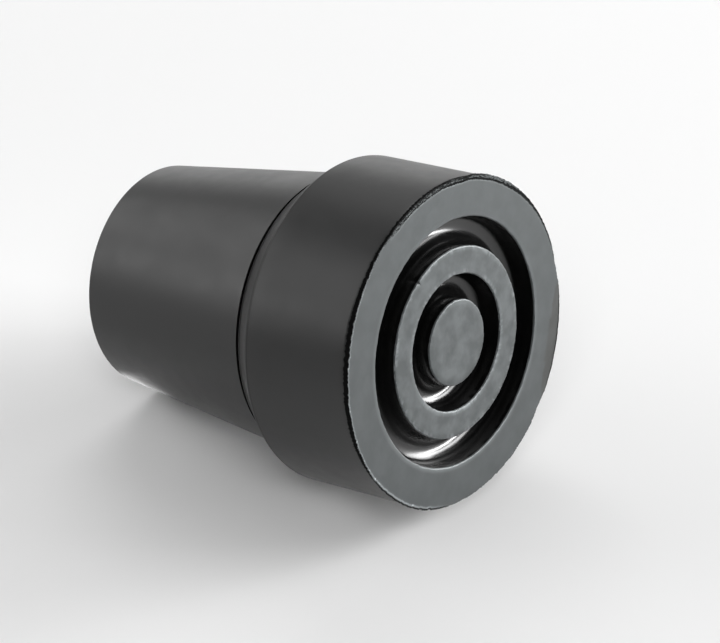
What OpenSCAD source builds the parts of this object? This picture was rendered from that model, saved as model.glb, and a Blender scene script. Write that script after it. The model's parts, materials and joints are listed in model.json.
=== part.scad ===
// Rubber cane tip: a moulded foot with a grooved sole, a bevelled shoulder and a tapered sleeve
// with a blind socket for the shaft. It stands on its sole, with the socket's mouth up.
// The origin is the middle of the sole, and Z is the axis of the shaft. Millimetres.

/* [Overall] */
// Height from the sole to the mouth
height = 44.5; // [38:0.5:56]

/* [Foot] */
// Diameter of the foot and its sole
foot_d = 38; // [37:0.5:46]
// Height of the foot, up to the top of its shoulder
foot_h = 18.1; // [12:0.1:22]
// Height of the shoulder's bevel
bevel_h = 3.1; // [1:0.1:4]
// Width of the shoulder's bevel, measured across the axis
bevel_w = 2.4; // [0.8:0.1:2.6]
// Rounding of the edge between the wall and the bevel
shoulder_round = 0.8; // [0.3:0.1:2]

/* [Sole] */
// Diameter of the flat boss in the middle
boss_d = 10; // [8:0.5:12]
// Width of the groove around the boss
inner_groove_w = 2.9; // [2:0.1:3.6]
// Width of the raised ring between the grooves
ring_w = 3.2; // [2.2:0.1:4.2]
// Width of the groove inside the outer land
outer_groove_w = 3.3; // [2:0.1:3.6]
// Depth of both grooves, which have round bottoms
groove_depth = 3.2; // [2:0.1:4.5]
// Rounding of the groove edges
lip_round = 0.2; // [0.1:0.05:0.4]

/* [Trim line] */
// Thickness of the flash edge that is left around the sole
flash_t = 0.3; // [0.2:0.05:0.8]
// How far the flash edge stands out past the foot
flash_out = 0.3; // [0.1:0.05:0.6]
// Width of the tear notch above the flash edge
notch_w = 0.6; // [0.3:0.05:1.2]
// Depth of the tear notch
notch_depth = 0.4; // [0.2:0.05:1]

/* [Sleeve] */
// Diameter of the sleeve where it leaves the shoulder
sleeve_d = 32.8; // [30:0.1:33]
// Diameter of the sleeve at the mouth
mouth_d = 26.3; // [24:0.1:30]
// Rounding of the outer edge of the mouth
mouth_round = 0.5; // [0.2:0.1:1]
// Width of the parting groove at the foot of the sleeve
parting_w = 0.6; // [0.4:0.05:1.6]
// Depth of the parting groove
parting_depth = 0.7; // [0.4:0.05:1.2]

/* [Socket] */
// Diameter of the shaft that the socket grips
shaft_d = 19; // [15:0.1:20]
// How much narrower than the shaft the socket is
grip = 0.4; // [0.1:0.05:0.8]
// Thickness of rubber between the socket's floor and the sole
sole_t = 12.5; // [9:0.5:16]
// Rounding of the corner at the socket's floor
floor_round = 1.5; // [0.5:0.1:3]
// Width of the lead-in bevel at the mouth
lead_in = 0.8; // [0.3:0.1:1.4]

/* [Hidden] */
$fn = 96;
over = 1; // how far a cutter reaches past the face that it cuts
foot_r = foot_d / 2;
socket_r = (shaft_d - grip) / 2;
mouth_r = mouth_d / 2;
sleeve_slope = (sleeve_d / 2 - mouth_r) / (height - foot_h); // radius lost for each mm of height
inner_groove_r = boss_d / 2 + inner_groove_w / 2;            // middle line of the inner groove
outer_groove_r = boss_d / 2 + inner_groove_w + ring_w + outer_groove_w / 2;

// Radius of the tapered sleeve at a height
function sleeve_r(z) = mouth_r + (height - z) * sleeve_slope;

// What a square corner loses to a rounding: the corner is at the origin, its solid at -X and -Y
module corner_waste(r) {
    translate([-r, -r])
        difference() {
            square(r + over);
            circle(r);
        }
}

// Half section of the foot: a straight wall and a bevel that meet in a rounded edge
module foot_section() {
    wall_h = foot_h - bevel_h;
    lean = atan2(bevel_w, bevel_h);           // of the bevel, from the axis
    reach = shoulder_round * tan(lean / 2);   // from the sharp edge to both ends of its rounding
    polygon([[0, 0], [foot_r, 0], [foot_r, wall_h - reach],
             [foot_r - reach * sin(lean), wall_h + reach * cos(lean)],
             [foot_r - bevel_w, foot_h], [0, foot_h]]);
    translate([foot_r - shoulder_round, wall_h - reach])
        circle(shoulder_round);
}

// Half section of the thin flash edge around the sole
module flash_section() {
    square([foot_r + flash_out, flash_t]);
}

// Half section of the tapered sleeve. It starts inside the foot and ends in the rounded mouth
module sleeve_section() {
    root_z = foot_h / 2;
    rounded_z = height - mouth_round;
    rounded_r = sleeve_r(rounded_z) - mouth_round;
    polygon([[0, root_z], [sleeve_r(root_z), root_z], [sleeve_r(rounded_z), rounded_z],
             [rounded_r, height], [0, height]]);
    translate([rounded_r, rounded_z])
        circle(mouth_round);
}

// Section of a sole groove about its middle line: straight walls, a round bottom and rounded lips
module groove_section(w) {
    bottom_r = w / 2;
    translate([-bottom_r, -over])
        square([w, groove_depth - bottom_r + over]);
    translate([0, groove_depth - bottom_r])
        circle(bottom_r);
    for (side = [0, 1])
        mirror([side, 0])
            translate([bottom_r, 0])
                mirror([1, 0])
                    mirror([0, 1])
                        corner_waste(lip_round);
}

// Section of the parting groove: a slot with a round bottom, hard against the shoulder
module parting_section() {
    slot_r = parting_w / 2;
    bottom_r = sleeve_r(foot_h + slot_r) - parting_depth + slot_r;
    translate([bottom_r, foot_h + slot_r])
        circle(slot_r);
    translate([bottom_r, foot_h])
        square([parting_depth + over, parting_w]);
}

// Section of the V notch above the flash edge
module notch_section() {
    polygon([[foot_r - notch_depth, flash_t], [foot_r + over, flash_t],
             [foot_r + over, flash_t + notch_w * (1 + over / notch_depth)]]);
}

// Socket for the shaft, with a rounded floor corner and a bevelled mouth
module socket() {
    depth = height - sole_t;
    translate([0, 0, sole_t + floor_round])
        cylinder(r = socket_r, h = depth - floor_round + over);
    translate([0, 0, sole_t])
        cylinder(r = socket_r - floor_round, h = depth);
    translate([0, 0, sole_t + floor_round])
        rotate_extrude()
            translate([socket_r - floor_round, 0])
                circle(floor_round);
    translate([0, 0, height - lead_in])
        cylinder(r1 = socket_r, r2 = socket_r + lead_in + over, h = lead_in + over);
}

module cane_tip() {
    color("#3a3b3c")
        difference() {
            rotate_extrude() {
                difference() {
                    union() {
                        foot_section();
                        flash_section();
                        sleeve_section();
                    }
                    parting_section();
                    notch_section();
                    translate([inner_groove_r, 0])
                        groove_section(inner_groove_w);
                    translate([outer_groove_r, 0])
                        groove_section(outer_groove_w);
                }
            }
            socket();
        }
}

cane_tip();
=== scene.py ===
import json
import math

import bpy
import numpy as np
from mathutils import Matrix, Vector


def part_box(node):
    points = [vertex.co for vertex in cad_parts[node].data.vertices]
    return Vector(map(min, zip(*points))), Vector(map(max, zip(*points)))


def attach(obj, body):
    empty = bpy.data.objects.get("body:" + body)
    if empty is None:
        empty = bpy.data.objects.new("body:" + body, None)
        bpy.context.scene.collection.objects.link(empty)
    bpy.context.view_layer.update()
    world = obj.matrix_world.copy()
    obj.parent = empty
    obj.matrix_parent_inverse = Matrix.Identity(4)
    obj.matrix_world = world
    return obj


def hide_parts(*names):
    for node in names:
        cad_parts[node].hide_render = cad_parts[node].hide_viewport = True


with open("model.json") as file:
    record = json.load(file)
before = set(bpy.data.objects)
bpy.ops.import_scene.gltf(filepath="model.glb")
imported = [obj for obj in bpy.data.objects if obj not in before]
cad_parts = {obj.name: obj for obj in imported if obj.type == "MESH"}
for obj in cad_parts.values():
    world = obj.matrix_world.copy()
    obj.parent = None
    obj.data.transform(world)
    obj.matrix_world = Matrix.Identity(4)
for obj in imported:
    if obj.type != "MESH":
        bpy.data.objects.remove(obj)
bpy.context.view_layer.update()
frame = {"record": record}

mm = 0.001
scene = bpy.context.scene

# The photo's view of the part. Lengths are in mm, in the part's frame before it is turned about Z
shot = {
    "turn": 170.0,                      # the tip is round, so this only picks which side is seen
    "eye": (0.0, -350.0, -255.8),
    "aim": (-0.15, -6.81, 8.83),
    "roll": -76.9,                      # the tip lies on its side in the picture
    "lens": 193.1,
    "sensor": 36.0,
    "near": 10.0,
    "far": 20000.0,
    "downTilt": 34.46,                  # how far the camera looks down on the floor
}

spin = Matrix.Rotation(math.radians(shot["turn"]), 3, "Z")
eye = spin @ Vector(shot["eye"]) * mm
aim = spin @ Vector(shot["aim"]) * mm

# Camera axes: forward to the aim point, then the level right and up turned by the roll
forward = (aim - eye).normalized()
levelRight = forward.cross(Vector((0, 0, 1))).normalized()
levelUp = levelRight.cross(forward)
roll = math.radians(shot["roll"])
camRight = levelRight * math.cos(roll) + levelUp * math.sin(roll)
camUp = levelUp * math.cos(roll) - levelRight * math.sin(roll)

camData = bpy.data.cameras.new("photoCamera")
camData.lens = shot["lens"]
camData.sensor_width = shot["sensor"]
camData.clip_start = shot["near"] * mm
camData.clip_end = shot["far"] * mm
cam = bpy.data.objects.new("photoCamera", camData)
camTurn = Matrix((camRight, camUp, -forward)).transposed()
cam.matrix_world = Matrix.Translation(eye) @ camTurn.to_4x4()
scene.collection.objects.link(cam)
scene.camera = cam

# Floor axes: the camera is level, so the floor's up lies between its up and the way back
down = math.radians(shot["downTilt"])
floorUp = camUp * math.cos(down) - forward * math.sin(down)
floorAway = forward * math.cos(down) + camUp * math.sin(down)
floorRight = camRight
print("camera placed")

# Section of the tip in mm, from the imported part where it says, and as in its source otherwise
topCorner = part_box("cane_tip")[1]
socketMount = next(m for m in frame["record"]["mounts"] if m["name"] == "shaft_socket")
tip = {
    "height": topCorner[2] / mm,
    "flashR": topCorner[0] / mm,        # the flash edge stands out furthest
    "footR": 19.0,
    "footH": 18.1,
    "bevelH": 3.1,
    "bevelW": 2.4,
    "shoulderRound": 0.8,
    "sleeveR": 16.4,
    "mouthR": 13.15,
    "mouthRound": 0.5,
    "partingW": 0.6,
    "partingDepth": 0.7,
    "socketR": socketMount["dims"]["r_mm"],
    "soleT": 12.5,
    "floorRound": 1.5,
    "leadIn": 0.8,
    "bossR": 5.0,
    "innerGrooveW": 2.9,
    "ringW": 3.2,
    "outerGrooveW": 3.3,
    "grooveDepth": 3.2,
    "lipRound": 0.2,
    "rimTop": 1.9,                      # where the side gives way to the torn rim
    "rimIn": 1.25,                      # how far the rim reaches into the land
    "rimGap": 0.15,                     # from there to the land's first plain ring
    "rimRows": 18,                      # rows of the rim on the land
    "rimFirst": 0.03,                   # the first of them, as a share of rimIn
    "rimCrowd": 1.2,                    # a power that crowds them towards the edge
    "bossIn": 0.6,                      # the boss's last ring, before its middle point
    "columns": 360,                     # steps round the axis
    "rimColumns": 1440,                 # finer steps on the rim
    "sharpAngle": 55.0,                 # edges over this stay sharp
}


# Evenly spaced points from p up to, but not with, q
def line(p, q, n):
    t = np.arange(n)[:, None] / n
    return np.asarray(p) * (1 - t) + np.asarray(q) * t


# Points on a circle about c from angle a0 up to, but not with, a1, in degrees
def arc(c, r, a0, a1, n):
    a = np.radians(a0 + (a1 - a0) * np.arange(n) / n)
    return np.stack([c[0] + r * np.cos(a), c[1] + r * np.sin(a)], 1)


# Section from the socket's floor over the mouth and down the side, as zones of points
def upperSection(t):
    sleeveEnd = t["footH"] + t["partingW"]
    slope = (t["sleeveR"] - t["mouthR"]) / (t["height"] - t["footH"])
    cornerR = t["socketR"] - t["floorRound"]
    cornerZ = t["soleT"] + t["floorRound"]
    leadZ = t["height"] - t["leadIn"]
    leadR = t["socketR"] + t["leadIn"]
    roundZ = t["height"] - t["mouthRound"]
    roundR = t["mouthR"] + t["mouthRound"] * slope - t["mouthRound"]
    endR = t["mouthR"] + (t["height"] - sleeveEnd) * slope
    slotR = t["partingW"] / 2
    slotZ = t["footH"] + slotR
    slotMid = t["mouthR"] + (t["height"] - slotZ) * slope - t["partingDepth"] + slotR
    topR = t["footR"] - t["bevelW"]
    bendRound = t["shoulderRound"]
    lean = math.atan2(t["bevelW"], t["bevelH"])
    wallZ = t["footH"] - t["bevelH"] - bendRound * math.tan(lean / 2)
    bend = (t["footR"] - bendRound, wallZ)
    bevelEnd = (bend[0] + bendRound * math.cos(lean), wallZ + bendRound * math.sin(lean))
    return [
        ("socket", line((cornerR / 3, t["soleT"]), (cornerR, t["soleT"]), 2)),
        ("socket", arc((cornerR, cornerZ), t["floorRound"], -90, 0, 6)),
        ("socket", line((t["socketR"], cornerZ), (t["socketR"], leadZ), 5)),
        ("socket", line((t["socketR"], leadZ), (leadR, t["height"]), 2)),
        ("side", line((leadR, t["height"]), (roundR, t["height"]), 3)),
        ("side", arc((roundR, roundZ), t["mouthRound"], 90, 0, 6)),
        ("side", line((roundR + t["mouthRound"], roundZ), (endR, sleeveEnd), 10)),
        # The parting groove gets the torn rubber, black and dull as painted shade in it
        ("torn", line((endR, sleeveEnd), (slotMid, sleeveEnd), 2)),
        ("torn", arc((slotMid, slotZ), slotR, 90, 270, 10)),
        ("torn", line((slotMid, t["footH"]), (topR, t["footH"]), 2)),
        ("bevel", line((topR, t["footH"]), bevelEnd, 4)),
        ("bend", arc(bend, bendRound, math.degrees(lean), 0, 6)),
        ("side", line((t["footR"], wallZ), (t["footR"], t["rimTop"]), 6)),
        ("side", np.array([(t["footR"], t["rimTop"])])),
    ]


# Section of a groove from its outer to its inner lip: quarter-round lips, straight walls and a
# half-round bottom
def grooveSection(outerR, w, depth, lip):
    innerR = outerR - w
    bottomZ = depth - w / 2
    return [
        ("lip", arc((outerR + lip, lip), lip, -90, -180, 5)),
        ("groove", line((outerR, lip), (outerR, bottomZ), 2)),
        ("groove", arc((outerR - w / 2, bottomZ), w / 2, 0, 180, 20)),
        ("groove", line((innerR, bottomZ), (innerR, lip), 2)),
        ("lip", arc((innerR - lip, lip), lip, 0, -90, 5)),
    ]


# Radii of the ring's inner edge, its outer edge and the land's inner edge, counted out from the boss
def soleRadii(t):
    ringInner = t["bossR"] + t["innerGrooveW"]
    ringOuter = ringInner + t["ringW"]
    return ringInner, ringOuter, ringOuter + t["outerGrooveW"]


# Section of the sole, from the land inwards
def soleSection(t):
    lip = t["lipRound"]
    ringInner, ringOuter, landInner = soleRadii(t)
    landOuter = t["footR"] - t["rimIn"] - t["rimGap"]
    return [
        ("land", line((landOuter, 0), (landInner + lip, 0), 6)),
        *grooveSection(landInner, t["outerGrooveW"], t["grooveDepth"], lip),
        ("mottled", line((ringOuter - lip, 0), (ringInner + lip, 0), 6)),
        *grooveSection(ringInner, t["innerGrooveW"], t["grooveDepth"], lip),
        ("mottled", line((t["bossR"] - lip, 0), (t["bossIn"], 0), 6)),
    ]


# Noises round the axis: the fewest and the most waves to a turn, and the seed
waves = {
    "broad": (12, 80, 3),
    "fine": (80, 480, 4),
    "glint": (20, 480, 5),
    "lips": (8, 120, 7),
    "crumbs": (40, 480, 20),            # this and the next draw anew for each row
    "ringRubAndGlint": (6, 150, 40),
}


# Noise round the axis: cosines of random phase that weaken with their number, of unit spread
def ripple(n, name, row=0):
    low, high, seed = waves[name]
    counts = np.arange(low, high + 1)
    phase = np.random.default_rng(seed + row).random(len(counts)) * 2 * np.pi
    spectrum = np.zeros(n // 2 + 1, complex)
    spectrum[counts] = np.exp(1j * phase) / np.sqrt(counts)
    wave = np.fft.irfft(spectrum, n)
    return wave / wave.std()


# Smooth step: 0 up to t = 0, then 3 t^2 - 2 t^3, and 1 from t = 1 on
def eased(t):
    t = np.clip(t, 0, 1)
    return t * t * (3 - 2 * t)


# The value that lies a share of the way from a to b
def between(a, b, share):
    return a + (b - a) * share


# Soft mask of the angles from a0 to a1, in degrees, which fades over the width of soft
def sector(angle, a0, a1, soft):
    off = np.abs((angle - (a0 + a1) / 2 + 180) % 360 - 180)
    return eased(((a1 - a0) / 2 - off) / soft + 0.5)


# Sum of soft masks, each with its own size
def bands(angle, table):
    return sum(size * sector(angle, a0, a1, soft) for a0, a1, soft, size in table)


# Wear of the sole, and the highlights and shade painted on it. Lengths are mm, and angles are degrees
# round the axis as the camera sees it. A place is the angle from, the angle to and the width of its
# soft ends, and a band also has a size
wear = {
    "flash": (                          # bands where the flash stands out
        (-16, 49, 8, 0.22),
        (59, 101, 7, 0.24),
        (111, 129, 5, 0.13),
        (170, 340, 20, 0.12),
        (160, 212, 12, 0.13),
    ),
    "trimIn": 0.02,                     # between them it is trimmed a little inside the wall
    "chipIn": 0.12,                     # no chip in it is deeper than this
    "flashClear": 0.01,                 # it stays this far inside the solid's own flash edge
    "flashT": 0.12,                     # it is thin at its tip
    "flashThin": 0.06,
    "flashThick": 0.2,
    "notch": ((158, 372, 20, 0.17), (210, 286, 50, 0.37)),  # bands where the notch is higher
    "notchH": 0.08,                     # its height elsewhere
    "notchIn": 0.6,                     # its depth for each mm of height
    "rootZ": 0.2,
    "rootWave": 0.1,
    "edgeWave": 0.012,
    "edgeRagged": 0.03,
    "lipRagged": 0.05,
    "raggedBroad": 0.3,                 # shares of broad and fine noise in a ragged edge
    "raggedFine": 0.8,
    "tornAt": (-58, 50, 16),
    "tornDark": 0.42,
    "stripAt": (-70, 18, 36),           # the torn strip is widest here
    "stripW": 0.55,
    "stripLeast": 0.15,                 # the share of that width which it keeps elsewhere
    "stripWave": 0.04,
    "crackAt": (-28, 60, 30),           # the crack behind the strip is deepest here; it is painted black as torn rubber and as the shade in the crease
    "crackFaint": 0.45,                 # elsewhere it is a broken line of this strength
    "crackW": 0.12,                     # its half width
    "wideAt": (8, 45, 16),
    "wideMore": 0.06,                   # how much wider it is there
    "crackDepth": 0.03,
    "deepest": 0.3,
    "frayAt": (272, 352, 24),           # where the land's edge is frayed
    "frayW": 0.22,
    "frayDark": 0.25,
    "highlightAt": (172, 292, 30),         # where a highlight is painted along the flash edge
    "highlightW": 0.1,
    "highlightLeast": 0.3,                 # between the painted glints
    "glintFrom": 1.3,
    "shadeFringeAt": (164, 210, 14),         # painted shade just outside the painted highlight, for the dark underside of the flash
    "shadeFringeW": 0.2,
    "shadeFringeIn": 0.3,                    # it pushes the painted highlight in by this much
    "skinAt": 81.0,                     # middle of the skin of flash that was left on the land
    "skinHalf": 21.0,
    "skinW": 1.9,
    "skinSlope": 0.06,
    "skinEdge": 0.06,
    "nickAt": -60.0,                    # a nick in the ring's outer edge
    "nickR": 11.0,
    "nickReach": 0.45,
    "nickTop": 1.0,
    "nickHalf": 1.0,
    "nickDepth": 0.1,
    "nickRise": 0.6,
    # how dark the nick is painted: painted shade in the notch
    "nickDark": 11.0,
    "lipWander": 0.018,
    "lipHighlight": 0.06,                     # the lips get a faint painted highlight
    "ringRubAndGlint": 0.3,                     # and the ring's edges more, in spots of rubbed wear with painted glints
    "ringRubAndGlintFrom": 0.3,
    "ringRubAndGlintIn": 0.25,                  # the share of its half width that the spots reach over
}


# The skin of flash on the land: its lens-shaped cover, and the slope that it adds
def flashSkin(r, angle):
    lens = np.clip(1 - ((angle - wear["skinAt"]) / wear["skinHalf"]) ** 2, 0, 1)
    over = np.clip(r - (tip["flashR"] - wear["skinW"] * np.sqrt(lens)), 0, None) * (lens > 0)
    return np.clip(over / wear["skinEdge"], 0, 1), wear["skinSlope"] * over


# Profile of the rim from the side over the ragged notch to the flash edge, each row's radius and
# height a function of the angle. The flash edge's own radius comes last
def rimProfile(t, w, angle):
    n = len(angle)
    broad, fine = ripple(n, "broad"), ripple(n, "fine")
    ragged = w["raggedBroad"] * broad + w["raggedFine"] * fine
    footR, rootZ = t["footR"], w["rootZ"]
    notchH = w["notchH"] + bands(angle, w["notch"])
    edgeR = footR - w["trimIn"] + bands(angle, w["flash"])
    edgeR += w["edgeWave"] * broad + w["edgeRagged"] * ragged
    edgeR = np.clip(edgeR, footR - w["chipIn"], t["flashR"] - w["flashClear"])
    edgeTop = np.clip(w["flashT"] + w["edgeRagged"] * ragged, w["flashThin"], w["flashThick"])
    lipZ = rootZ + notchH + w["lipRagged"] * ragged
    rootR = footR - w["notchIn"] * notchH * (1 + w["rootWave"] * broad)
    rows = [
        ("side", footR, lipZ + 0.3),    # the wall, then a slight turn into the notch
        ("side", footR - 0.003, lipZ + 0.1),
        ("torn", footR - 0.05 * notchH, lipZ),
        ("torn", between(footR, rootR, 0.4), between(lipZ, rootZ, 0.36)),
        ("torn", between(footR, rootR, 0.8), between(lipZ, rootZ, 0.75)),
        ("torn", rootR, rootZ),
        ("torn", between(rootR, edgeR, 0.5), between(rootZ, edgeTop, 0.6)),
        ("torn", between(rootR, edgeR, 0.93), edgeTop),
        ("edge", edgeR, between(edgeTop, 0.0, 0.35)),
        ("edge", edgeR - 0.01, between(edgeTop, 0.0, 0.8)),
    ]
    zone = [row[0] for row in rows]
    r = [np.broadcast_to(row[1], n) for row in rows]
    z = [np.broadcast_to(row[2], n) for row in rows]
    return zone, r, z, edgeR


# Grid of the rim: its profile, then rows on the land that lie d inside the flash edge. The marks of
# wear, painted highlight and painted shade on these fade as a power of e with d
def rimGrid(t, w):
    n = t["rimColumns"]
    angle = np.arange(n) * 360 / n
    zone, r, z, edgeR = rimProfile(t, w, angle)
    torn, fray, shadeFringe = [sector(angle, *w[place]) for place in ("tornAt", "frayAt", "shadeFringeAt")]
    # A highlight painted along the flash edge, with brighter glints in it
    glint = np.clip(ripple(n, "glint") - w["glintFrom"], 0, 1)
    highlight = sector(angle, *w["highlightAt"]) * between(w["highlightLeast"], 1.0, glint)
    # The flash edge is darker where it is torn and frayed, and painted dark outside the highlight as
    # the shade under the flash
    edgeTearAndShade = np.clip(0.5 * torn + 0.5 * fray + shadeFringe, 0, 1)
    marks = {
        "tear": [edgeTearAndShade * (name == "edge") for name in zone],
        "edge": [highlight * (1 - shadeFringe) * (name == "edge") for name in zone],
        "skin": [np.zeros(n) for name in zone],
    }
    stripW = w["stripW"] * between(w["stripLeast"], 1.0, sector(angle, *w["stripAt"]))
    stripW += w["stripWave"] * ripple(n, "broad")
    crackW = w["crackW"] + w["wideMore"] * sector(angle, *w["wideAt"])
    depth = between(w["crackFaint"], 1.0, sector(angle, *w["crackAt"]))
    crumbDark = w["tornDark"] + w["frayDark"] * fray
    rowsIn = t["rimIn"] * np.linspace(t["rimFirst"], 1, t["rimRows"]) ** t["rimCrowd"]
    for i, d in enumerate(rowsIn):
        # The crack is a shallow dent, painted black as torn rubber and as the shade in the crease
        crack = np.exp(-((d - stripW) / crackW) ** 2) * torn * depth
        crumbs = np.abs(ripple(n, "crumbs", i)) * torn * (d < stripW)
        frayed = np.exp(-(d / w["frayW"]) ** 4) * fray
        shadedFringe = np.exp(-(d / w["shadeFringeW"]) ** 6) * shadeFringe
        cover, slope = flashSkin(edgeR - d, angle)
        zone.append("land")
        r.append(edgeR - d)
        z.append(np.clip(w["crackDepth"] * (crack + crumbs) + slope, 0, w["deepest"]))
        tear = crack + crumbDark * crumbs + w["tornDark"] * frayed + shadedFringe
        marks["tear"].append(np.clip(tear, 0, 1))
        marks["edge"].append(highlight * np.exp(-((d - w["shadeFringeIn"] * shadeFringe) / w["highlightW"]) ** 2))
        marks["skin"].append(cover)
    return zone, np.array(r), np.array(z), {name: np.array(mark) for name, mark in marks.items()}


# Grid of a plain section: the same radius and height all round
def sectionGrid(parts, n):
    zone = [name for name, pts in parts for _ in pts]
    pts = np.concatenate([pts for _, pts in parts])
    return zone, np.repeat(pts[:, :1], n, 1), np.repeat(pts[:, 1:], n, 1)


coarseN, fineN = tip["columns"], tip["rimColumns"]
upZone, upR, upZ = sectionGrid(upperSection(tip), coarseN)
rimZone, rimR, rimZ, rimMarks = rimGrid(tip, wear)
soleZone, soleR, soleZ = sectionGrid(soleSection(tip), coarseN)

# The sole's own wear: the flash skin, a nick in the ring's edge, and lips that wander a little
soleAngle = np.arange(coarseN) * 360 / coarseN
isLand = np.array([name == "land" for name in soleZone])[:, None]
isLip = np.array([name == "lip" for name in soleZone])[:, None]
cover, slope = flashSkin(soleR, soleAngle)
soleZ += isLand * slope
nickOff = (soleAngle - wear["nickAt"] + 180) % 360 - 180
nearNick = np.clip(1 - np.abs(soleR - wear["nickR"]) / wear["nickReach"], 0, 1)
nearNick *= soleZ < wear["nickTop"]
nick = wear["nickDepth"] * np.exp(-(nickOff / wear["nickHalf"]) ** 2) * nearNick
soleR -= nick
soleZ += nick * wear["nickRise"]
soleR += isLip * wear["lipWander"] * ripple(coarseN, "lips")

# Where a groove shines, across its width from -1 at its inner wall to 1 at its outer one
gloss = {"from": -0.45, "rise": 0.3, "to": 0.9, "fall": 0.35}


# Shine of a groove: the round bottom is glossy, the walls are dull
def grooveShine(outerR, w):
    u = (soleR - outerR + w / 2) / (w / 2)
    return eased((u - gloss["from"]) / gloss["rise"]) * eased((gloss["to"] - u) / gloss["fall"])


# Rubbed spots with painted glints on the ring's edges, where u across the ring goes from 0 in its
# middle to 1
def ringRubAndGlint():
    ringInner, ringOuter, _ = soleRadii(tip)
    u = np.abs(soleR - (ringInner + ringOuter) / 2) / (tip["ringW"] / 2)
    spots = np.array([ripple(coarseN, "ringRubAndGlint", row) for row in range(len(soleR))])
    atEdge = np.clip((u - 1) / wear["ringRubAndGlintIn"] + 1, 0, 1) * (u < 1) * (soleZ < tip["lipRound"])
    return atEdge * np.clip(spots - wear["ringRubAndGlintFrom"], 0, 1)


ringInner, _, landInner = soleRadii(tip)
innerShine = grooveShine(ringInner, tip["innerGrooveW"])
outerShine = grooveShine(landInner, tip["outerGrooveW"])
# Marks of the sole: painted shade in the nick, a painted highlight on the lips, rubbed spots with
# painted glints on the ring's edges, the flash skin and the shine of the grooves
soleMarks = {
    "tear": np.clip(nick * wear["nickDark"], 0, 1),
    "edge": isLip * wear["lipHighlight"] + wear["ringRubAndGlint"] * ringRubAndGlint(),
    "skin": isLand * cover,
    "shine": innerShine + outerShine,
}
rimMarks["shine"] = np.zeros_like(rimR)


# Surface of revolution: a grid point of radius r and height z at angle a is (r cos a, r sin a, z)
def turned(r, z):
    n = r.shape[1]
    a = np.arange(n) / n * 2 * np.pi + math.radians(shot["turn"])
    return np.stack([r * np.cos(a), r * np.sin(a), z], 2).reshape(-1, 3)


# Quads of a grid of rows that each close on themselves
def gridFaces(start, rows, n):
    i = np.arange(rows - 1)[:, None] * n + start
    j = np.arange(n)[None, :]
    k = (j + 1) % n
    return np.stack([i + j, i + n + j, i + n + k, i + k], 2).reshape(-1, 4)


# Fans between a coarse ring and one that is some whole number of times finer
def stitchFaces(coarse, fine, n, times, fineLast):
    j = np.arange(n)
    c0, c1 = coarse + j, coarse + (j + 1) % n
    f = [fine + (j * times + s) % (n * times) for s in range(times + 1)]
    half = times // 2
    fans = [(c0, f[s], f[s + 1]) for s in range(half)]
    fans += [(c0, f[half], c1)]
    fans += [(f[s], f[s + 1], c1) for s in range(half, times)]
    if not fineLast:
        fans = [fan[::-1] for fan in fans]
    return np.concatenate([np.stack(fan, 1) for fan in fans])


rimStart = upR.size
soleStart = rimStart + rimR.size
pole = soleStart + soleR.size
poles = np.array([[0, 0, tip["soleT"]], [0, 0, 0]])
points = np.concatenate([turned(upR, upZ), turned(rimR, rimZ), turned(soleR, soleZ), poles])
lastUp, lastRim, lastSole = rimStart - coarseN, soleStart - fineN, pole - coarseN
ringJ = np.arange(coarseN)
ringK = (ringJ + 1) % coarseN
quads = np.concatenate([
    gridFaces(0, len(upR), coarseN),
    gridFaces(rimStart, len(rimR), fineN),
    gridFaces(soleStart, len(soleR), coarseN),
])
tris = np.concatenate([
    stitchFaces(lastUp, rimStart, coarseN, fineN // coarseN, True),
    stitchFaces(soleStart, lastRim, coarseN, fineN // coarseN, False),
    np.stack([np.full(coarseN, pole), ringJ, ringK], 1),
    np.stack([lastSole + ringJ, np.full(coarseN, pole + 1), lastSole + ringK], 1),
])
stitchN = len(tris) // 2 - coarseN
faceZone = np.concatenate([
    np.repeat(upZone[:-1], coarseN),
    np.repeat(rimZone[:-1], fineN),
    np.repeat(soleZone[:-1], coarseN),
    np.repeat(["side", "land"], stitchN),
    np.repeat(["socket", "mottled"], coarseN),
])

mesh = bpy.data.meshes.new("tip_rubber")
mesh.from_pydata((points * mm).tolist(), [], quads.tolist() + tris.tolist())
mesh.polygons.foreach_set("use_smooth", np.ones(len(mesh.polygons), bool))
mesh.set_sharp_from_angle(angle=math.radians(tip["sharpAngle"]))
for name in rimMarks:
    marks = [np.zeros(rimStart), rimMarks[name].ravel(), soleMarks[name].ravel(), np.zeros(len(poles))]
    values = np.concatenate(marks).astype(np.float32)
    mesh.attributes.new(name, "FLOAT", "POINT").data.foreach_set("value", values)
tipObject = bpy.data.objects.new("tip_rubber", mesh)
scene.collection.objects.link(tipObject)
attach(tipObject, "root")
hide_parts("cane_tip")
print("tip has", 2 * len(quads) + len(tris), "triangles")


# Put a node in a tree. Each input takes a value, or a socket that is linked to it
def addNode(tree, kind, inputs=None, **settings):
    node = tree.nodes.new("ShaderNode" + kind)
    for key, value in settings.items():
        setattr(node, key, value)
    setInputs(tree, node, inputs or {})
    return node


# Link the sockets among the inputs, and set the rest
def setInputs(tree, node, inputs):
    for key, value in inputs.items():
        if isinstance(value, bpy.types.NodeSocket):
            tree.links.new(value, node.inputs[key])
        else:
            node.inputs[key].default_value = value


def mixColours(tree, factor, a, b):
    return addNode(tree, "Mix", {0: factor, 6: a, 7: b}, data_type="RGBA").outputs[2]


# Map a value from one range to another, and clamp it there
def scaled(tree, value, lo, hi, fromLo=0.0, fromHi=1.0):
    sockets = {"Value": value, "From Min": fromLo, "From Max": fromHi, "To Min": lo, "To Max": hi}
    return addNode(tree, "MapRange", sockets).outputs["Result"]


def combined(tree, operation, a, b):
    return addNode(tree, "Math", {0: a, 1: b}, operation=operation).outputs[0]


def noise(tree, at, scale, detail, roughness=0.5):
    sockets = {"Vector": at, "Scale": scale, "Detail": detail, "Roughness": roughness}
    return addNode(tree, "TexNoise", sockets).outputs["Fac"]


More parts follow.
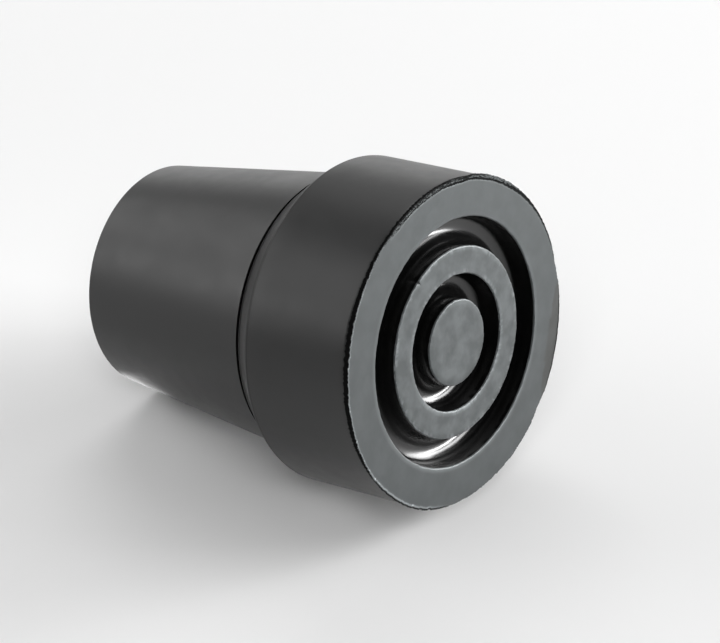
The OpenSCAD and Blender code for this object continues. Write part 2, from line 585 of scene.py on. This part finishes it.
# One of the mesh's own marks of wear
def mark(tree, name):
    return addNode(tree, "Attribute", attribute_name=name).outputs["Fac"]


# A normal from a height. The distance is in mm
def bump(tree, height, strength, distance):
    sockets = {"Height": height, "Strength": strength, "Distance": distance * mm}
    return addNode(tree, "Bump", sockets).outputs["Normal"]


def grey(value, tint=(1.0, 1.0, 1.0)):
    return (value * tint[0], value * tint[1], value * tint[2], 1.0)


# An effect as a node group: takes a position, gives one number
def effectGroup(name, output):
    tree = bpy.data.node_groups.new(name, "ShaderNodeTree")
    tree.interface.new_socket("Vector", in_out="INPUT", socket_type="NodeSocketVector")
    tree.interface.new_socket(output, in_out="OUTPUT", socket_type="NodeSocketFloat")
    source = tree.nodes.new("NodeGroupInput")
    sink = tree.nodes.new("NodeGroupOutput")
    return tree, source.outputs["Vector"], sink.inputs[output]


# Cloudy bloom: a broad and a fine noise, averaged
def bloomGroup():
    tree, at, out = effectGroup("cloudyBloom", "Fac")
    both = combined(tree, "ADD", noise(tree, at, 110.0, 3.0), noise(tree, at, 520.0, 4.0))
    tree.links.new(scaled(tree, both, 0.0, 1.0, 0.6, 1.4), out)
    return tree


# Fine grain of the mould's surface, as a height
def grainGroup():
    tree, at, out = effectGroup("fineGrain", "Height")
    tree.links.new(noise(tree, at, 2400.0, 3.0, 0.6), out)
    return tree


# White specks of dust: the middles of a few cells
def specksGroup():
    tree, at, out = effectGroup("dustSpecks", "Fac")
    cells = addNode(tree, "TexVoronoi", {"Vector": at, "Scale": 520.0, "Randomness": 1.0})
    spot = scaled(tree, cells.outputs["Distance"], 1.0, 0.0, 0.04, 0.1)
    pick = combined(tree, "GREATER_THAN", cells.outputs["Color"], 0.94)
    tree.links.new(combined(tree, "MULTIPLY", spot, pick), out)
    return tree


effects = {"bloom": bloomGroup(), "grain": grainGroup(), "specks": specksGroup()}


def useEffect(tree, name, at):
    node = tree.nodes.new("ShaderNodeGroup")
    node.node_tree = effects[name]
    tree.links.new(at, node.inputs["Vector"])
    return node.outputs[0]


def newMaterial(name):
    mat = bpy.data.materials.new(name)
    mat.use_nodes = True
    tree = mat.node_tree
    at = addNode(tree, "TexCoord").outputs["Object"]
    return mat, tree, at, tree.nodes["Principled BSDF"]


# Satin rubber of the sides and the socket, clouded a little. The shine may change at a grazing view
def satinRubber(name, dark, light, rough, shine=0.56, grazing=0.56):
    mat, tree, at, shader = newMaterial(name)
    facing = addNode(tree, "LayerWeight", {"Blend": 0.5}).outputs["Facing"]
    bloom = useEffect(tree, "bloom", at)
    colour = mixColours(tree, bloom, grey(dark), grey(light))
    dust = grey(0.12)
    setInputs(tree, shader, {
        "Base Color": mixColours(tree, useEffect(tree, "specks", at), colour, dust),
        "Roughness": scaled(tree, bloom, rough - 0.05, rough + 0.05),
        "Specular IOR Level": scaled(tree, facing, shine, grazing, 0.78, 0.9),
        "Normal": bump(tree, useEffect(tree, "grain", at), 0.12, 0.04),
    })
    return mat


# Greyer rubber of the sole, with a cool tint painted in for the bluish light on it. Tears and painted
# shade darken and roughen it, and edges are lighter from rubbing and from painted highlights
def soleRubber(name, dark, light, rough, mottle):
    mat, tree, at, shader = newMaterial(name)
    # A cool tint painted into the colours and the reflection for the bluish light that falls on the
    # sole
    bluishLightTint = (0.94, 1.0, 1.03)
    bluishLightShine, skinShine = (0.9, 0.985, 1.0, 1.0), (0.97, 0.985, 0.94, 1.0)
    black, rubAndHighlight, dust = grey(0.002), grey(0.5, bluishLightTint), grey(0.3)
    bloom = useEffect(tree, "bloom", at)
    blots = noise(tree, at, 420.0, 4.0)
    patches = scaled(tree, blots, 0.0, 1.0, 0.38, 0.64)
    clouded = mixColours(tree, bloom, grey(dark, bluishLightTint), grey(light, bluishLightTint))
    mottled = mixColours(tree, patches, clouded, grey(light + mottle, bluishLightTint))
    crumbly = combined(tree, "ADD", mark(tree, "tear"), noise(tree, at, 5200.0, 2.0))
    tearing = scaled(tree, crumbly, 0.0, 1.0, 0.86, 1.04)
    torn = mixColours(tree, tearing, mottled, black)
    skin = mark(tree, "skin")
    shine = scaled(tree, skin, 0.62, 0.48)
    # Edges lightened: rubbed wear on the ring, painted highlights on the lips and the flash edge
    edgesLightened = mixColours(tree, mark(tree, "edge"), torn, rubAndHighlight)
    setInputs(tree, shader, {
        "Base Color": mixColours(tree, useEffect(tree, "specks", at), edgesLightened, dust),
        "Roughness": scaled(tree, tearing, rough, 0.75),
        "Specular IOR Level": addNode(tree, "Mix", {0: tearing, 2: shine, 3: 0.08}).outputs[0],
        "Specular Tint": mixColours(tree, skin, bluishLightShine, skinShine),
        "Normal": bump(tree, blots, 0.1 + 6 * mottle, 0.12),
    })
    return mat


# Glossy rubber of the grooves, which nothing has rubbed
def glossRubber(name, rough):
    mat, tree, at, shader = newMaterial(name)
    bloom = useEffect(tree, "bloom", at)
    setInputs(tree, shader, {
        "Base Color": mixColours(tree, bloom, grey(0.002), grey(0.006)),
        "Roughness": scaled(tree, bloom, rough - 0.03, rough + 0.04),
        "Specular IOR Level": scaled(tree, mark(tree, "shine"), 0.2, 0.66),
        "Normal": bump(tree, useEffect(tree, "grain", at), 0.03, 0.02),
    })
    return mat


# Rubber in the notch and the parting groove: black and rough, as torn rubber and as painted shade in
# these recesses
def tornRubber(name):
    mat, tree, at, shader = newMaterial(name)
    crumbs = noise(tree, at, 3500.0, 4.0)
    setInputs(tree, shader, {
        "Base Color": mixColours(tree, crumbs, grey(0.001), grey(0.005)),
        "Roughness": scaled(tree, crumbs, 0.7, 0.9),
        "Specular IOR Level": 0.1,
        "Normal": bump(tree, crumbs, 0.6, 0.1),
    })
    return mat


landMat = soleRubber("soleLand", dark=0.006, light=0.012, rough=0.44, mottle=0.006)
ringMat = soleRubber("soleMottled", dark=0.007, light=0.014, rough=0.44, mottle=0.03)
zoneMats = {
    "side": satinRubber("satinSide", dark=0.003, light=0.007, rough=0.42),
    "bevel": satinRubber("satinBevel", dark=0.003, light=0.007, rough=0.42, shine=0.5, grazing=0.05),
    "bend": satinRubber("satinBend", dark=0.003, light=0.007, rough=0.46, shine=0.34, grazing=0.05),
    "socket": satinRubber("socketRubber", dark=0.004, light=0.009, rough=0.55),
    "torn": tornRubber("tornAndShadedNotch"),
    "edge": landMat,
    "land": landMat,
    "mottled": ringMat,
    "lip": ringMat,
    "groove": glossRubber("glossGroove", rough=0.2),
}
matList = list(dict.fromkeys(zoneMats.values()))
for mat in matList:
    mesh.materials.append(mat)
zoneNames, zoneOfFace = np.unique(faceZone, return_inverse=True)
zoneSlots = np.array([matList.index(zoneMats[str(name)]) for name in zoneNames], np.int32)
mesh.polygons.foreach_set("material_index", zoneSlots[zoneOfFace])
mesh.update()
print("materials made:", len(matList))

# Floor: a pale disc that touches the shoulder and the mouth, as the tip lies in the picture. Seen
# from behind it lets the camera through, so the upright tip can be looked at from every side
ground = {"radius": 600.0, "steps": 96, "tone": 0.85, "cloud": 0.01, "rough": 0.9}
groundLevel = (points @ np.array(floorUp)).min()
around = np.arange(ground["steps"]) / ground["steps"] * 2 * np.pi
disc = np.outer(np.cos(around), floorRight) + np.outer(np.sin(around), floorAway)
discPoints = disc * ground["radius"] + np.array(floorUp) * groundLevel
floorMesh = bpy.data.meshes.new("floor")
floorMesh.from_pydata((discPoints * mm).tolist(), [], [list(range(ground["steps"]))])
floor = bpy.data.objects.new("floor", floorMesh)
scene.collection.objects.link(floor)
print("floor laid")


def floorMaterial():
    mat, tree, at, shader = newMaterial("paleFloor")
    darker, lighter = grey(ground["tone"] - ground["cloud"]), grey(ground["tone"] + ground["cloud"])
    tone = mixColours(tree, noise(tree, at, 12.0, 2.0), darker, lighter)
    setInputs(tree, shader, {"Base Color": tone, "Roughness": ground["rough"]})
    behind = addNode(tree, "NewGeometry").outputs["Backfacing"]
    seen = addNode(tree, "LightPath").outputs["Is Camera Ray"]
    through = combined(tree, "MULTIPLY", behind, seen)
    clear = addNode(tree, "BsdfTransparent").outputs["BSDF"]
    blend = addNode(tree, "MixShader", {0: through, 1: shader.outputs["BSDF"], 2: clear})
    tree.links.new(blend.outputs["Shader"], tree.nodes["Material Output"].inputs["Surface"])
    return mat


floorMesh.materials.append(floorMaterial())

# World: pale to the camera, dark to everything else, so that the softboxes do the lighting
studio = {"backdrop": 0.88, "reach": 1.4}  # the reach is from the tip to each softbox, in metres
world = bpy.data.worlds.new("studio")
scene.world = world
world.use_nodes = True
worldTree = world.node_tree
toCamera = addNode(worldTree, "LightPath").outputs["Is Camera Ray"]
backdrop = {"Color": grey(studio["backdrop"]), "Strength": toCamera}
setInputs(worldTree, worldTree.nodes["Background"], backdrop)
scene.view_settings.view_transform = "Standard"


# An area light facing the tip: az turns right from the way the camera looks, el is above the floor.
# Its width and height are in metres and its power in watts
def softbox(name, az, el, width, height, power):
    azr, elr = math.radians(az), math.radians(el)
    level = floorAway * math.cos(azr) + floorRight * math.sin(azr)
    out = level * math.cos(elr) + floorUp * math.sin(elr)
    across = floorUp.cross(level)
    data = bpy.data.lights.new(name, "AREA")
    data.shape = "RECTANGLE"
    data.size = width
    data.size_y = height
    data.energy = power
    lamp = bpy.data.objects.new(name, data)
    turn = Matrix((across, out.cross(across), out)).transposed()
    lamp.matrix_world = Matrix.Translation(aim + out * studio["reach"]) @ turn.to_4x4()
    lamp.visible_camera = False
    scene.collection.objects.link(lamp)
    return lamp


softboxes = [
    softbox("rightLow", 60, 3, 0.7, 0.22, 5.5),
    softbox("right", 60, 13, 0.7, 0.28, 10.0),
    softbox("rightHigh", 76, 21, 0.5, 0.3, 4.0),
    softbox("rightSide", 74, 4, 0.5, 0.22, 2.0),
    softbox("sideLow", 90, 3, 0.7, 0.22, 15.0),
    softbox("sideHigh", 90, 28, 0.7, 0.4, 8.5),
    softbox("front", 180, 45, 0.75, 0.5, 6.0),
    softbox("top", 180, 72, 1.2, 0.6, 0.5),
    softbox("left", 275, 12, 0.8, 0.3, 3.5),
    softbox("leftHigh", 275, 35, 0.8, 0.5, 2.5),
    softbox("backLeft", 310, 20, 0.8, 0.45, 3.5),
    softbox("backLow", 0, 4, 1.4, 0.25, 3.0),
    softbox("back", 0, 22, 1.0, 0.4, 0.5),
    softbox("backHigh", 0, 48, 1.0, 0.5, 5.5),
]


# A small square card near the tip. Its size is in metres and its spread in degrees, and its place is
# in mm to the right, away and above the floor
def smallCard(name, el, size, spread, place, power):
    lamp = softbox(name, 0, el, size, size, power)
    lamp.data.spread = math.radians(spread)
    right, away, above = place
    spot = floorRight * right + floorAway * away + floorUp * (groundLevel + above)
    lamp.matrix_world.translation = spot * mm
    return lamp


# A collection of one object, for lamps that are meant for it alone
def onlyOne(name, obj):
    group = bpy.data.collections.new(name)
    group.objects.link(obj)
    return group


floorOnly = onlyOne("floorOnly", floor)
tipOnly = onlyOne("tipOnly", tipObject)

# Cards that lighten the floor on the left, and leave the tip as it is
floorCards = [
    smallCard("cardBack", 90, 0.02, 180, (-60, 25, 40), 0.0018),
    smallCard("cardLeft", 90, 0.02, 52, (-50, -3, 50), 0.0003),
    smallCard("cardNear", 90, 0.02, 46, (-24, -13, 40), 0.00011),
]
for lamp in floorCards:
    lamp.light_linking.receiver_collection = floorOnly

# Bounce at the mouth, and light for the side that lies on the floor: only the tip takes or stops it
tipLamps = [
    smallCard("mouthBounce", -40, 0.006, 180, (-38.5, 23.4, -2.4), 0.00033),
    softbox("below", 0, -90, 0.9, 0.9, 1.5),
]
for lamp in tipLamps:
    lamp.light_linking.receiver_collection = tipOnly
    lamp.light_linking.blocker_collection = tipOnly
print("lamps:", len(softboxes + floorCards + tipLamps))
